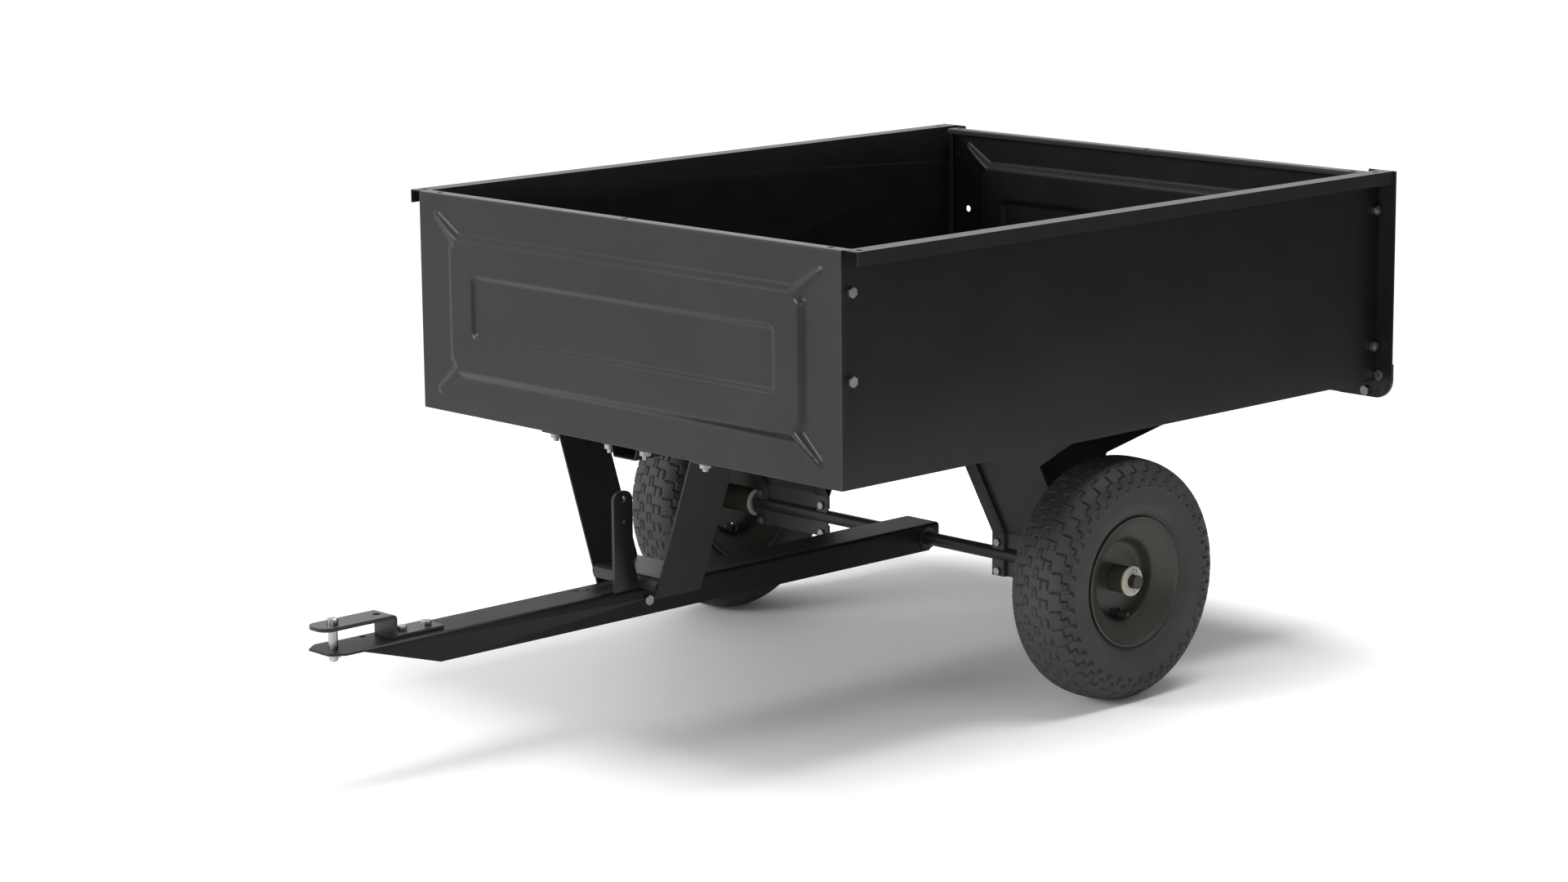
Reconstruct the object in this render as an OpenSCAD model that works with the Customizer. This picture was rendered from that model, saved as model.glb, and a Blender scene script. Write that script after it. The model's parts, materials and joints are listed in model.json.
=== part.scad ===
// Tow behind garden cart: a sheet-metal dump bed on two pneumatic wheels, with a channel drawbar,
// a pinned hitch, a sprung release lever and a lift-out tailgate.
// +Y runs from the hitch to the tailgate, +X to the right-hand side as seen from the hitch.
// The origin is on the ground, under the middle of the whole length.

/* [Bed] */
// Outside width across the two side panels
bed_w = 837; // [760:1:900]
// Length from the front panel to the rear end of the floor
bed_len = 1076; // [1000:1:1150]
// Height of the bed walls
bed_h = 305; // [270:1:340]
// Sheet thickness of the bed panels
sheet = 1.5; // [1.2:0.1:2]
// Height of the pressed field on the front panel and tailgate
emboss = 6.5; // [5:0.5:9]
// Depth of the flat pressed back into the middle of that field
recess = 4; // [2:0.5:4.5]
// Width of the rolled rim along the side panels
rim_w = 25; // [18:1:30]
// Depth of the rim's lip
rim_drop = 18.5; // [12:0.5:24]

/* [Wheels and axle] */
// Outside radius of the tyres
tyre_r = 167; // [150:1:180]
// Widest section of a tyre
tyre_w = 100; // [90:1:104]
// Distance from the cart's centre line to the middle of a wheel
wheel_x = 386; // [384:1:390]
// Radius of the axle
axle_r = 9.5; // [8:0.5:10]
// Axle centre behind the front panel
axle_y = 547; // [530:1:560]
// Axle centre below the bed
axle_drop = 207; // [200:1:215]

/* [Drawbar and hitch] */
// Width of the drawbar channel
bar_w = 67.4; // [62:0.1:72]
// Depth of the drawbar channel
bar_h = 38; // [34:0.5:42]
// Metal thickness of the drawbar
bar_t = 3; // [2:0.5:3.5]
// Drawbar's top face below the bed
bar_drop = 187.5; // [186:0.5:189]
// How far the drawbar reaches ahead of the front panel
bar_reach = 508; // [480:1:540]
// Width of the hitch strap
strap_w = 42; // [38:1:46]
// Thickness of the hitch strap
strap_t = 5; // [4:0.5:6]
// Clear height of the hitch jaw
jaw = 27; // [24:1:30]
// Radius of the hitch pin
pin_r = 6.1; // [5.5:0.1:6.4]

/* [Latch] */
// Thickness of the release lever
lever_t = 5; // [4:0.5:5]
// Width of the release lever
lever_w = 33; // [28:1:36]

/* [Hidden] */
$fn = 64;

powder = [0.12, 0.12, 0.125];
zinc = [0.72, 0.73, 0.75];
rubber = [0.19, 0.19, 0.19];
rim_paint = [0.16, 0.16, 0.14];
nylon = [0.64, 0.62, 0.57];

// Fasteners: M8 through the panels, M6 on the axle brackets.
m8_r = 4;
m8_hole_r = 4.3;
m8_flats = 13;
m8_head_h = 5.3;
m8_nut_h = 6.5;
m6_r = 3;
m6_hole_r = 3.3;
m6_flats = 10;
m6_head_h = 4;
m6_nut_h = 5;
thread_play = 0.05;

// Bed frame: y = 0 is the front panel's outer face, z = 0 the underside of the floor.
half_w = bed_w / 2;
in_x = half_w - sheet;
flange = 26;
gate_y = bed_len - 12;
frame_t = 2.5;
rear_end = bed_len + 2 * frame_t + m8_nut_h + 1.5;
strap_front = bar_reach + 6;
bed_y = -(rear_end - strap_front) / 2;
deck_z = tyre_r + axle_drop;

// Places of the fastenings, in the bed frame.
strut_bolt_x = 150;
strut_bolt_ys = [13, 74];
stiff_bolt_x = 35.5;
stiff_bolt_ys = [10, 1030];
bracket_bolt_xs = [190, 293];
bracket_bolt_ys = [436, 659];
corner_bolt_y = 17;
corner_bolt_zs = [138, 251];
channel_bolt_y = 1067;
channel_bolt_zs = [51, 248];
frame_bolt_xz = [[426, 9], [402, -16]];
clamp_bolt_xs = [177, 306];
clamp_bolt_zs = [-190, -231];
rim_hole_x = half_w + rim_w / 2;
rim_hole_ys = [20, 1050];
rim_hole_r = 4.5;

// Pressed field of the end panels, from the panel's middle and the floor.
field_x = 352;
field_z0 = 55;
field_z1 = 250;
arm_x = 377;
arm_z0 = 31;
arm_z1 = 276;
arm_half_w = 6;
recess_x = 299;
recess_z0 = 113.5;
recess_z1 = 196;
fold_reach = 22;
fold_lip = 7;
fold_hole_x = 388;
fold_hole_r = 4.5;

// Drawbar and hitch, in the bed frame.
bar_z = -bar_drop;
bar_x = bar_w / 2;
bar_end = axle_y + 23;
bend_r = 5;
side_starts = -462;
strap_bend_r = 6;
pin_y = -485;
chain_hole = [-22, -422];
chain_hole_r = 4.5;
strap_hole_y = -416;
strap_hole_r = 5;
pin_hole_r = pin_r + 0.5;
clip_r = 1.4;
clip_z = bar_z - bar_t - 5.5;
strap_z = bar_z + jaw;
riser_y = -404;
strap_end = -322;
hitch_bolt_ys = [-377, -337];
bush_r = axle_r + 3;
bush_bore_r = axle_r + 0.05;

// Latch, in the bed frame.
pivot = [11.5, bar_z - 17.5];
lever_x = bar_x - bar_t - 0.5 - lever_t;
lever_y = -25.5;
lever_top = -52;
rope_hole_r = 4.75;
rope_hole_z = lever_top - 11;
saddle_y = 2;
saddle_z = bar_z + 14;
hook_gap = 0.6;
spring_eye = [-12, -62, bar_z - 5];
spring_tail = [lever_x, -10, bar_z - 22.5];

// Wheel frame: +Z points outboard along the axle, z = 0 is the wheel's middle.
rim_r = 86;
rim_t = 2;
hub_r = 19;
hub_in = -63.5;
hub_out = 33;
bush_flange = 3;
valve_r = 48;
valve_slot_r = 6;

module from_bed() translate([0, bed_y, deck_z]) children();
module along_x(x0, x1) translate([x0, 0, 0]) rotate([90, 0, 90]) linear_extrude(x1 - x0) children();
module along_y(y0, y1) translate([0, y1, 0]) rotate([90, 0, 0]) linear_extrude(y1 - y0) children();
module along_z(z0, z1) translate([0, 0, z0]) linear_extrude(z1 - z0) children();
module both_sides() {
    children();
    mirror([1, 0, 0]) children();
}
module on_left() mirror([1, 0, 0]) children();

// Outline of a bent strip of sheet metal: a path, and the same path moved sideways by t.
function across(a, b) = let (d = b - a) [-d[1], d[0]] / norm(d);
function mitre(p, i) =
    i == 0 ? across(p[0], p[1]) :
    i == len(p) - 1 ? across(p[i - 1], p[i]) :
    let (m = across(p[i - 1], p[i]), n = across(p[i], p[i + 1])) (m + n) / (1 + m * n);
module strip(p, t) polygon(concat(p, [for (i = [len(p) - 1:-1:0]) p[i] + t * mitre(p, i)]));

// Fasteners stand on z = 0 with the shank down the -Z side.
module hex_bolt(r, flats, head_h, len) {
    cylinder(h = head_h, r = flats / sqrt(3), $fn = 6);
    translate([0, 0, -len]) cylinder(h = len + 0.5, r = r, $fn = 32);
}
module hex_nut(r, flats, h) difference() {
    cylinder(h = h, r = flats / sqrt(3), $fn = 6);
    translate([0, 0, -1]) cylinder(h = h + 2, r = r + thread_play, $fn = 32);
}
module dome_bolt(r, head_r, head_h, len) {
    rotate_extrude($fn = 48) intersection() {
        translate([0, head_h - (head_r * head_r + head_h * head_h) / (2 * head_h)])
            circle(r = (head_r * head_r + head_h * head_h) / (2 * head_h), $fn = 96);
        square([head_r, head_h]);
    }
    translate([0, 0, -len]) cylinder(h = len + 0.3, r = r, $fn = 32);
}
module drill_x(x0, x1, y, z, r) translate([x0, y, z]) rotate([0, 90, 0]) cylinder(h = x1 - x0, r = r);
module drill_y(x, y0, y1, z, r) translate([x, y1, z]) rotate([90, 0, 0]) cylinder(h = y1 - y0, r = r);
module drill_z(x, y, z0, z1, r) translate([x, y, z0]) cylinder(h = z1 - z0, r = r);

// Every fastening through the floor, on the right-hand side: [x, y].
floor_bolt_xy = concat(
    [for (y = strut_bolt_ys) [strut_bolt_x, y]],
    [for (y = stiff_bolt_ys) [stiff_bolt_x, y]],
    [for (x = bracket_bolt_xs, y = bracket_bolt_ys) [x, y]]
);
module floor_holes() both_sides() for (p = floor_bolt_xy) drill_z(p[0], p[1], -20, 20, m8_hole_r);

// Pressed field of the end panels: a long hexagonal plateau with an arm to each corner.
module field_outline(grow) {
    side = field_x + grow;
    bottom = field_z0 - grow;
    top = field_z1 + grow;
    polygon([[-side, field_z0 + 20], [17 - field_x, bottom], [field_x - 17, bottom], [side, field_z0 + 20],
        [side, field_z1 - 18], [field_x - 24, top], [24 - field_x, top], [-side, field_z1 - 18]]);
    for (arm = [[[field_x - 10, field_z1 - 8], [arm_x, arm_z1]], [[field_x - 7, field_z0 + 8], [arm_x, arm_z0]]])
        for (s = [-1, 1]) {
            a = [s * arm[0][0], arm[0][1]];
            b = [s * arm[1][0], arm[1][1]];
            tip = (arm_half_w + grow) * (b - a) / norm(b - a);
            w = (arm_half_w + grow) * across(a, b);
            polygon([a + 2 * w, a - 2 * w, b - w, b - w / 2 + tip * 0.8, b + w / 2 + tip * 0.8, b + w]);
        }
}
module recess_outline(grow) translate([-recess_x - grow, recess_z0 - grow])
    square([2 * (recess_x + grow), recess_z1 - recess_z0 + 2 * grow]);
module pressed_sheet(y, x_edge, z0, z1) {
    difference() {
        along_y(y, y + sheet) translate([-x_edge, z0]) square([2 * x_edge, z1 - z0]);
        along_y(y - 1, y + sheet + 1) field_outline(-sheet);
    }
    difference() {
        along_y(y - emboss, y + sheet) field_outline(0);
        along_y(y - emboss + sheet, y + sheet + 1) field_outline(-sheet);
        along_y(y - emboss - 1, y + 1) recess_outline(0);
    }
    difference() {
        along_y(y - emboss, y - emboss + recess + sheet) recess_outline(sheet);
        along_y(y - emboss - 1, y - emboss + recess) recess_outline(0);
    }
}
// Stiffening fold along the top edge, turned towards +Y or -Y.
module top_fold(y, dir, x_edge, z) {
    along_x(-x_edge, x_edge) strip([[y, z], [y + dir * fold_reach, z], [y + dir * fold_reach, z - fold_lip]],
        -dir * sheet);
}

// ---------------------------------------------------------------- drawbar and hitch
module bar_outline() {
    full_depth = -341;
    polygon([[-bar_reach, 0], [bar_end, 0], [bar_end, -17], [bar_end - 20, -bar_h], [full_depth, -bar_h],
        [side_starts, -bar_t], [-bar_reach, -bar_t]]);
}
// What a bend of radius r takes off the square corner at [x, z], for a corner that points to +X and +Z.
module bend_relief(x, z, r) difference() {
    translate([x - r, z - r]) square(r + 1);
    translate([x - r, z - r]) circle(r = r);
}
module bar_plan() {
    nose = 18;
    translate([-bar_x, -bar_reach + nose]) square([bar_w, bar_end + bar_reach - nose]);
    polygon([[-bar_x, -bar_reach + nose], [-bar_x + nose * 0.75, -bar_reach], [bar_x - nose * 0.75, -bar_reach],
        [bar_x, -bar_reach + nose]]);
}
module drawbar() color(powder) from_bed() difference() {
    intersection() {
        translate([0, 0, bar_z]) difference() {
            along_x(-bar_x, bar_x) bar_outline();
            translate([-bar_x + bar_t, -bar_reach - 1, -bar_h - 1])
                cube([bar_w - 2 * bar_t, bar_end + bar_reach + 2, bar_h + 1 - bar_t]);
        }
        along_z(bar_z - bar_h - 1, bar_z + 1) bar_plan();
    }
    both_sides() along_y(side_starts, bar_end + 1) bend_relief(bar_x, bar_z, bend_r);
    drill_z(0, pin_y, bar_z - 10, bar_z + 10, pin_hole_r);
    drill_z(chain_hole[0], chain_hole[1], bar_z - 10, bar_z + 10, chain_hole_r);
    for (y = hitch_bolt_ys) drill_z(0, y, bar_z - 10, bar_z + 10, m8_hole_r);
    drill_x(-bar_x - 1, bar_x + 1, axle_y, -axle_drop, bush_r);
    drill_x(0, bar_x + 1, pivot[0], pivot[1], m8_r + thread_play);
    translate([lever_x - 2, -64, bar_z - bar_t - 1]) cube([lever_t + 2.5, 92, bar_t + 2]);
    along_z(bar_z - bar_t - 1, bar_z + 1) polygon([[-19, -84], [-13.5, -66], [-19, -66]]);
    translate([-13.5, -58, bar_z - bar_t - 1]) cube([4, 8, bar_t + 2]);
}

module hitch_strap() color(powder) from_bed() difference() {
    intersection() {
        along_x(-strap_w / 2, strap_w / 2) strip([[-strap_front, strap_z], [riser_y, strap_z],
            [riser_y, bar_z], [strap_end, bar_z]], strap_t);
        along_z(bar_z - 1, strap_z + strap_t + 1) strap_plan();
    }
    along_x(-strap_w, strap_w) bend_relief(riser_y + strap_t, strap_z + strap_t, strap_bend_r);
    drill_z(0, pin_y, strap_z - 1, strap_z + strap_t + 1, pin_hole_r);
    drill_z(0, strap_hole_y, strap_z - 1, strap_z + strap_t + 1, strap_hole_r);
    for (y = hitch_bolt_ys) drill_z(0, y, bar_z - 1, bar_z + strap_t + 1, m8_hole_r);
}
module strap_plan() {
    round_r = 16;
    far_r = 6;
    translate([-strap_w / 2, -strap_front + round_r])
        square([strap_w, strap_front + strap_end - round_r - far_r]);
    for (s = [-1, 1]) {
        translate([s * (strap_w / 2 - round_r), -strap_front + round_r]) circle(r = round_r);
        translate([s * (strap_w / 2 - far_r), strap_end - far_r]) circle(r = far_r);
    }
    translate([-strap_w / 2 + round_r, -strap_front]) square([strap_w - 2 * round_r, 2 * round_r]);
    translate([-strap_w / 2 + far_r, strap_end - 2 * far_r]) square([strap_w - 2 * far_r, 2 * far_r]);
}

module hitch_bolts() color(zinc) from_bed() for (y = hitch_bolt_ys)
    translate([0, y, bar_z + strap_t]) rotate(10) hex_bolt(m8_r, m8_flats, m8_head_h, strap_t + bar_t + 9);
module hitch_nuts() color(zinc) from_bed() for (y = hitch_bolt_ys)
    translate([0, y, bar_z - bar_t - m8_nut_h]) hex_nut(m8_r, m8_flats, m8_nut_h);

module drawbar_bushes() color(nylon) from_bed() both_sides() difference() {
    union() {
        drill_x(bar_x - bar_t, bar_x, axle_y, -axle_drop, bush_r);
        drill_x(bar_x, bar_x + 2, axle_y, -axle_drop, bush_r + 3.5);
    }
    drill_x(0, bar_x + 3, axle_y, -axle_drop, bush_bore_r);
}

// ---------------------------------------------------------------- latch
module latch_pivot_bolt() color(zinc) from_bed() translate([bar_x, pivot[0], pivot[1]])
    rotate([0, 90, 0]) hex_bolt(m8_r, m8_flats, m8_head_h, bar_t + lever_t + m8_nut_h + 3);
module latch_pivot_nut() color(zinc) from_bed() translate([lever_x - 0.5 - m8_nut_h, pivot[0], pivot[1]])
    rotate([0, 90, 0]) hex_nut(m8_r, m8_flats, m8_nut_h);

module latch_spring() color(zinc) from_bed() {
    run = spring_tail - spring_eye;
    len = norm(run);
    hook = 9;
    translate(spring_eye) rotate([0, acos(run[2] / len), atan2(run[1], run[0])]) {
        translate([0, 0, hook]) difference() {
            cylinder(h = len - 2 * hook, r = 4, $fn = 32);
            translate([0, 0, 1.4]) cylinder(h = len - 2 * hook - 2.8, r = 2.8, $fn = 32);
            translate([0, 0, -1]) cylinder(h = len, r = 1, $fn = 24);
        }
        translate([1.4, 0, 1.5]) cylinder(h = hook - 1.4, r = 0.7, $fn = 24);
        translate([1.4, 0, len - hook - 0.1]) cylinder(h = hook - 2.5, r = 0.7, $fn = 24);
    }
}

module latch_lever() color(powder) from_bed() difference() {
    nose_y = saddle_y - sheet * 2 - hook_gap;
    front = lever_y - lever_w / 2;
    back = lever_y + lever_w / 2;
    top_r = 13;
    along_x(lever_x, lever_x + lever_t) {
        for (y = [front + top_r, back - top_r]) translate([y, lever_top - top_r]) circle(r = top_r);
        translate([front + top_r, lever_top - top_r]) square([lever_w - 2 * top_r, top_r]);
        polygon([[front, lever_top - top_r], [front, bar_z - 12], [-24, bar_z - 26], [4, bar_z - 29],
            [pivot[0], pivot[1]], [pivot[0], bar_z - 7], [1, bar_z - 2.6], [nose_y, bar_z - 2],
            [nose_y, bar_z + 13], [back, bar_z + 38], [back, lever_top - top_r]]);
        translate(pivot) circle(r = 11.5);
    }
    drill_x(lever_x - 1, lever_x + lever_t + 1, pivot[0], pivot[1], m8_r + thread_play);
    drill_x(lever_x - 1, lever_x + lever_t + 1, lever_y, rope_hole_z, rope_hole_r);
    drill_x(lever_x - 1, lever_x + lever_t + 1, lever_y + 1, lever_top - 42, 2.5);
    drill_x(lever_x - 1, lever_x + lever_t + 1, spring_tail[1], spring_tail[2], 2.2);
}

// ---------------------------------------------------------------- hitch pin
module hitch_pin() color(zinc) from_bed() difference() {
    top = strap_z + strap_t;
    tail = clip_z - 8;
    translate([0, pin_y, 0]) {
        drill_z(0, 0, tail + 2, top + 1, pin_r);
        translate([0, 0, tail]) cylinder(h = 2.01, r1 = pin_r - 1.6, r2 = pin_r);
        drill_z(0, 0, top, top + 6, pin_r + 1.2);
        translate([0, 0, top + 6]) cylinder(h = 1, r1 = pin_r + 1.2, r2 = pin_r + 0.2);
    }
    drill_x(-10, 10, pin_y, clip_z, clip_r + 0.4);
}
module hairpin_clip() color(zinc) from_bed() translate([0, pin_y, clip_z]) {
    leg = 14;
    spread = pin_r + clip_r + 0.6;
    rotate([0, -90, 0]) translate([0, 0, -leg]) cylinder(h = 2 * leg, r = clip_r, $fn = 32);
    translate([0, -spread, 0]) rotate([0, -90, 0]) translate([0, 0, -leg + 4])
        cylinder(h = 2 * leg - 4, r = clip_r, $fn = 32);
    translate([-leg, -spread / 2, 0]) rotate(90) rotate_extrude(angle = 180)
        translate([spread / 2, 0]) circle(r = clip_r, $fn = 32);
}

// ---------------------------------------------------------------- bed
module bed_floor() color(powder) from_bed() difference() {
    translate([-in_x, sheet, 0]) cube([2 * in_x, bed_len - sheet, sheet]);
    floor_holes();
}
module floor_stiffener() color(powder) from_bed() difference() {
    along_y(4, 1042) strip([[-46, 0], [-25, 0], [-20, -15], [20, -15], [25, 0], [46, 0]], -2);
    floor_holes();
}

module front_panel() color(powder) from_bed() difference() {
    foot_half_w = 388;
    end_gap = 6;
    union() {
        pressed_sheet(0, half_w, 0, bed_h);
        translate([0, sheet, 0]) top_fold(0, 1, in_x - 0.2, bed_h);
        translate([-foot_half_w, sheet - 0.01, sheet]) cube([2 * foot_half_w, flange - sheet, sheet]);
        both_sides() translate([in_x - sheet, sheet - 0.01, end_gap]) cube([sheet, flange, bed_h - end_gap - 8]);
    }
    for (x = [-fold_hole_x, 0, fold_hole_x]) drill_z(x, 13, bed_h - 10, bed_h + 1, fold_hole_r);
    for (z = corner_bolt_zs) drill_x(-half_w - 1, half_w + 1, corner_bolt_y, z, m8_hole_r);
    floor_holes();
}

module side_panel() color(powder) difference() {
    union() {
        along_y(sheet, bed_len) translate([in_x, 0]) square([sheet, bed_h]);
        along_y(5, bed_len) strip([[in_x, bed_h], [half_w + rim_w, bed_h], [half_w + rim_w, bed_h - rim_drop]],
            -sheet);
        translate([in_x - 22, flange + 3, sheet]) cube([22.01, bed_len - flange - 24, sheet]);
    }
    for (z = corner_bolt_zs) drill_x(in_x - 3, half_w + 3, corner_bolt_y, z, m8_hole_r);
    for (z = channel_bolt_zs) drill_x(in_x - 3, half_w + 3, channel_bolt_y, z, m8_hole_r);
    for (y = rim_hole_ys) drill_z(rim_hole_x, y, bed_h - 5, bed_h + 1, rim_hole_r);
    // Small relief at the lower rear corner, beside the rear frame.
    along_x(in_x - 1, half_w + 1) polygon([[bed_len - 9, -1], [bed_len + 1, -1], [bed_len + 1, 11]]);
}
module right_side_panel() from_bed() side_panel();
module left_side_panel() from_bed() on_left() side_panel();

module gate_channel() color(powder) difference() {
    along_z(3, bed_h - 5) strip([[in_x - 8.1, gate_y - 5], [in_x, gate_y - 5], [in_x, bed_len],
        [in_x - 18, bed_len]], sheet);
    for (z = channel_bolt_zs) drill_x(in_x - 3, half_w + 3, channel_bolt_y, z, m8_hole_r);
}
module right_gate_channel() from_bed() gate_channel();
module left_gate_channel() from_bed() on_left() gate_channel();

// Rear frame: an L-shaped upright at each side and a cross bar behind their feet.
upright_x0 = half_w - 20;
upright_x1 = half_w + rim_w + 3.5;
frame_low = -25;
corner_r = 28;
module frame_corner(top) {
    translate([upright_x0, frame_low]) square([upright_x1 - corner_r - upright_x0, top - frame_low]);
    translate([upright_x0, frame_low + corner_r]) square([upright_x1 - upright_x0, top - frame_low - corner_r]);
    translate([upright_x1 - corner_r, frame_low + corner_r]) circle(r = corner_r);
}
module frame_holes() for (p = frame_bolt_xz) drill_y(p[0], bed_len - 1, rear_end, p[1], m8_hole_r);
module rear_upright() color(powder) difference() {
    along_y(bed_len, bed_len + frame_t) {
        frame_corner(bed_h);
        translate([upright_x0 - 45, frame_low]) square([46, -frame_low - 1]);
    }
    frame_holes();
}
module right_rear_upright() from_bed() rear_upright();
module left_rear_upright() from_bed() on_left() rear_upright();
module rear_crossbar() color(powder) from_bed() difference() {
    along_y(bed_len + frame_t, bed_len + 2 * frame_t) {
        translate([-upright_x0 - 1, frame_low]) square([2 * upright_x0 + 2, sheet - frame_low]);
        for (s = [0, 1]) mirror([s, 0]) frame_corner(26);
    }
    both_sides() frame_holes();
}

// Struts that stand the bed on the drawbar, and the saddle that joins their feet.
strut_foot = [57, -198];
strut_head = [131, 0];
strut_y0 = 3;
strut_y1 = 84;
strut_t = 3;
module strut() color(powder) difference() {
    along_y(strut_y0, strut_y1) strip([strut_foot, strut_head, [168, 0]], -strut_t);
    floor_holes();
}
module right_strut() from_bed() strut();
module left_strut() from_bed() on_left() strut();
module saddle() color(powder) from_bed() {
    lip = bar_z + 0.5;
    lean = (strut_head[0] - strut_foot[0]) / (strut_head[1] - strut_foot[1]);
    foot_x = strut_foot[0] + (saddle_z - strut_foot[1]) * lean;
    intersection() {
        along_x(-100, 100) strip([[saddle_y, lip], [saddle_y, saddle_z - 6], [saddle_y + 2, saddle_z - 2],
            [saddle_y + 6, saddle_z], [strut_y1 - 4, saddle_z], [strut_y1, saddle_z - 5], [strut_y1, lip]], 3);
        along_y(-10, 200) polygon([[foot_x - 40 * lean, saddle_z - 40], [foot_x + 40 * lean, saddle_z + 40],
            [-foot_x - 40 * lean, saddle_z + 40], [-foot_x + 40 * lean, saddle_z - 40]]);
    }
}

// Axle brackets: nested front and rear plates whose feet clamp the axle and whose legs spread
// to the floor. The tabs along both edges stand proud of the web.
foot_z0 = -238;
foot_z1 = -176;
plate_x0 = 166;
plate_x1 = 317;
tab_w = 22;
rear_tab_w = tab_w - 2;
tab_step = 6;
plate_t = 3;
module foot_plan(y, w) along_z(foot_z0, foot_z1) strip([[plate_x0, y], [plate_x0 + w, y],
    [plate_x0 + w + 3, y + tab_step], [plate_x1 - w - 3, y + tab_step], [plate_x1 - w, y],
    [plate_x1, y]], plate_t);
// A leg runs from [y_foot, foot_z1] up to y_top at the floor; its thickness is t along Y, and a
// flange lies under the floor from y_in to y_end. Its tabs stand proud by tab_step towards -Y.
module leg_slab(x0, x1, y_foot, y_top, t) along_x(x0, x1)
    polygon([[y_foot, foot_z1 - 1], [y_foot, foot_z1], [y_top, -0.5], [y_top + t, -0.5], [y_foot + t, foot_z1],
        [y_foot + t, foot_z1 - 1]]);
module leg(y_foot, y_top, y_in, y_end, t, w) {
    for (x = [plate_x0, plate_x1 - w]) leg_slab(x, x + w, y_foot - tab_step, y_top - tab_step, t);
    leg_slab(plate_x0 + w, plate_x1 - w, y_foot, y_top, t);
    for (x = [plate_x0 + w, plate_x1 - w - 2])
        leg_slab(x, x + 2, y_foot - tab_step + min(t, 0), y_top - tab_step + min(t, 0), tab_step + abs(t));
    translate([plate_x0, min(y_in, y_end), -plate_t]) cube([plate_x1 - plate_x0, abs(y_end - y_in), plate_t]);
    intersection() {
        leg_slab(plate_x1 - 1, half_w, y_foot - tab_step, y_top - tab_step, t);
        along_y(0, bed_len) polygon([[plate_x1 - 1, -53], [half_w - 12, -1], [plate_x1 - 1, -1]]);
    }
}
module bracket_holes() {
    floor_holes();
    for (x = clamp_bolt_xs, z = clamp_bolt_zs) drill_y(x, axle_y - 30, axle_y + 30, z, m6_hole_r);
}
module groove(r0, r1, y) difference() {
    drill_x(plate_x0 + tab_w, plate_x1 - tab_w, axle_y, -axle_drop, r1);
    drill_x(plate_x0, plate_x1, axle_y, -axle_drop, r0);
    translate([0, y - 100, -axle_drop - 50]) cube([500, 100, 100]);
}
module front_bracket() color(powder) difference() {
    union() {
        foot_plan(axle_y - tab_step, tab_w);
        leg(axle_y, 452, 455, 424, plate_t, tab_w);
        groove(axle_r, axle_r + plate_t, axle_y);
    }
    drill_x(0, 500, axle_y, -axle_drop, axle_r);
    bracket_holes();
}
module rear_bracket() color(powder) difference() {
    union() {
        foot_plan(axle_y - tab_step + plate_t, rear_tab_w);
        leg(axle_y + 2 * plate_t, 645, 636, 673, -plate_t, rear_tab_w);
        groove(axle_r + plate_t, axle_r + 2 * plate_t, axle_y + plate_t);
    }
    drill_x(0, 500, axle_y, -axle_drop, axle_r + plate_t);
    bracket_holes();
}
module right_front_bracket() from_bed() front_bracket();
module right_rear_bracket() from_bed() rear_bracket();
module left_front_bracket() from_bed() on_left() front_bracket();
module left_rear_bracket() from_bed() on_left() rear_bracket();

// ---------------------------------------------------------------- axle
axle_x = wheel_x + 46;
split_x = axle_x - 5;
inner_washer_x = wheel_x + hub_in - bush_flange - 0.3;
washer_t = 1.8;
washer_r = 16;
module axle() color(powder) from_bed() difference() {
    drill_x(-axle_x, axle_x, axle_y, -axle_drop, axle_r);
    both_sides() drill_z(split_x, axle_y, -axle_drop - 20, -axle_drop + 20, 2);
}
module axle_washers() color(zinc) from_bed() both_sides() difference() {
    drill_x(inner_washer_x - washer_t, inner_washer_x, axle_y, -axle_drop, washer_r);
    drill_x(0, wheel_x, axle_y, -axle_drop, axle_r + 0.1);
}
module split_pins() color(zinc) from_bed() both_sides() translate([split_x, axle_y, -axle_drop]) {
    drill_z(0, 0, -axle_r - 6, axle_r + 3, 1.7);
    translate([0, 0, axle_r + 5.5]) rotate([0, 90, 0]) rotate_extrude() translate([3, 0]) circle(r = 1.3, $fn = 24);
}

// ---------------------------------------------------------------- bed fasteners
module floor_bolts() color(zinc) from_bed() both_sides() for (p = floor_bolt_xy)
    translate([p[0], p[1], p[1] < flange ? 2 * sheet : sheet]) dome_bolt(m8_r, 8.5, 3, 17);
module floor_nuts() color(zinc) from_bed() both_sides() for (p = floor_bolt_xy)
    translate([p[0], p[1], -(p[0] == stiff_bolt_x ? 2 : plate_t) - m8_nut_h])
        hex_nut(m8_r, m8_flats, m8_nut_h);
module corner_bolts() color(zinc) from_bed() both_sides() for (z = corner_bolt_zs)
    translate([half_w, corner_bolt_y, z]) rotate([0, 90, 0]) hex_bolt(m8_r, m8_flats, m8_head_h, 14);
module corner_nuts() color(zinc) from_bed() both_sides() for (z = corner_bolt_zs)
    translate([in_x - sheet - m8_nut_h, corner_bolt_y, z]) rotate([0, 90, 0])
        hex_nut(m8_r, m8_flats, m8_nut_h);
module channel_screws() color(zinc) from_bed() both_sides() for (z = channel_bolt_zs)
    translate([in_x - sheet, channel_bolt_y, z]) rotate([0, -90, 0]) dome_bolt(m8_r, 6.5, 1.3, 11.5);
module channel_nuts() color(zinc) from_bed() both_sides() for (z = channel_bolt_zs)
    translate([half_w, channel_bolt_y, z]) rotate([0, 90, 0]) hex_nut(m8_r, m8_flats, m8_nut_h);
module rear_frame_bolts() color(zinc) from_bed() both_sides() for (p = frame_bolt_xz)
    translate([p[0], bed_len, p[1]]) rotate([90, 0, 0]) rotate(30)
        hex_bolt(m8_r, m8_flats, m8_head_h, 2 * frame_t + m8_nut_h + 1.5);
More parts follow.
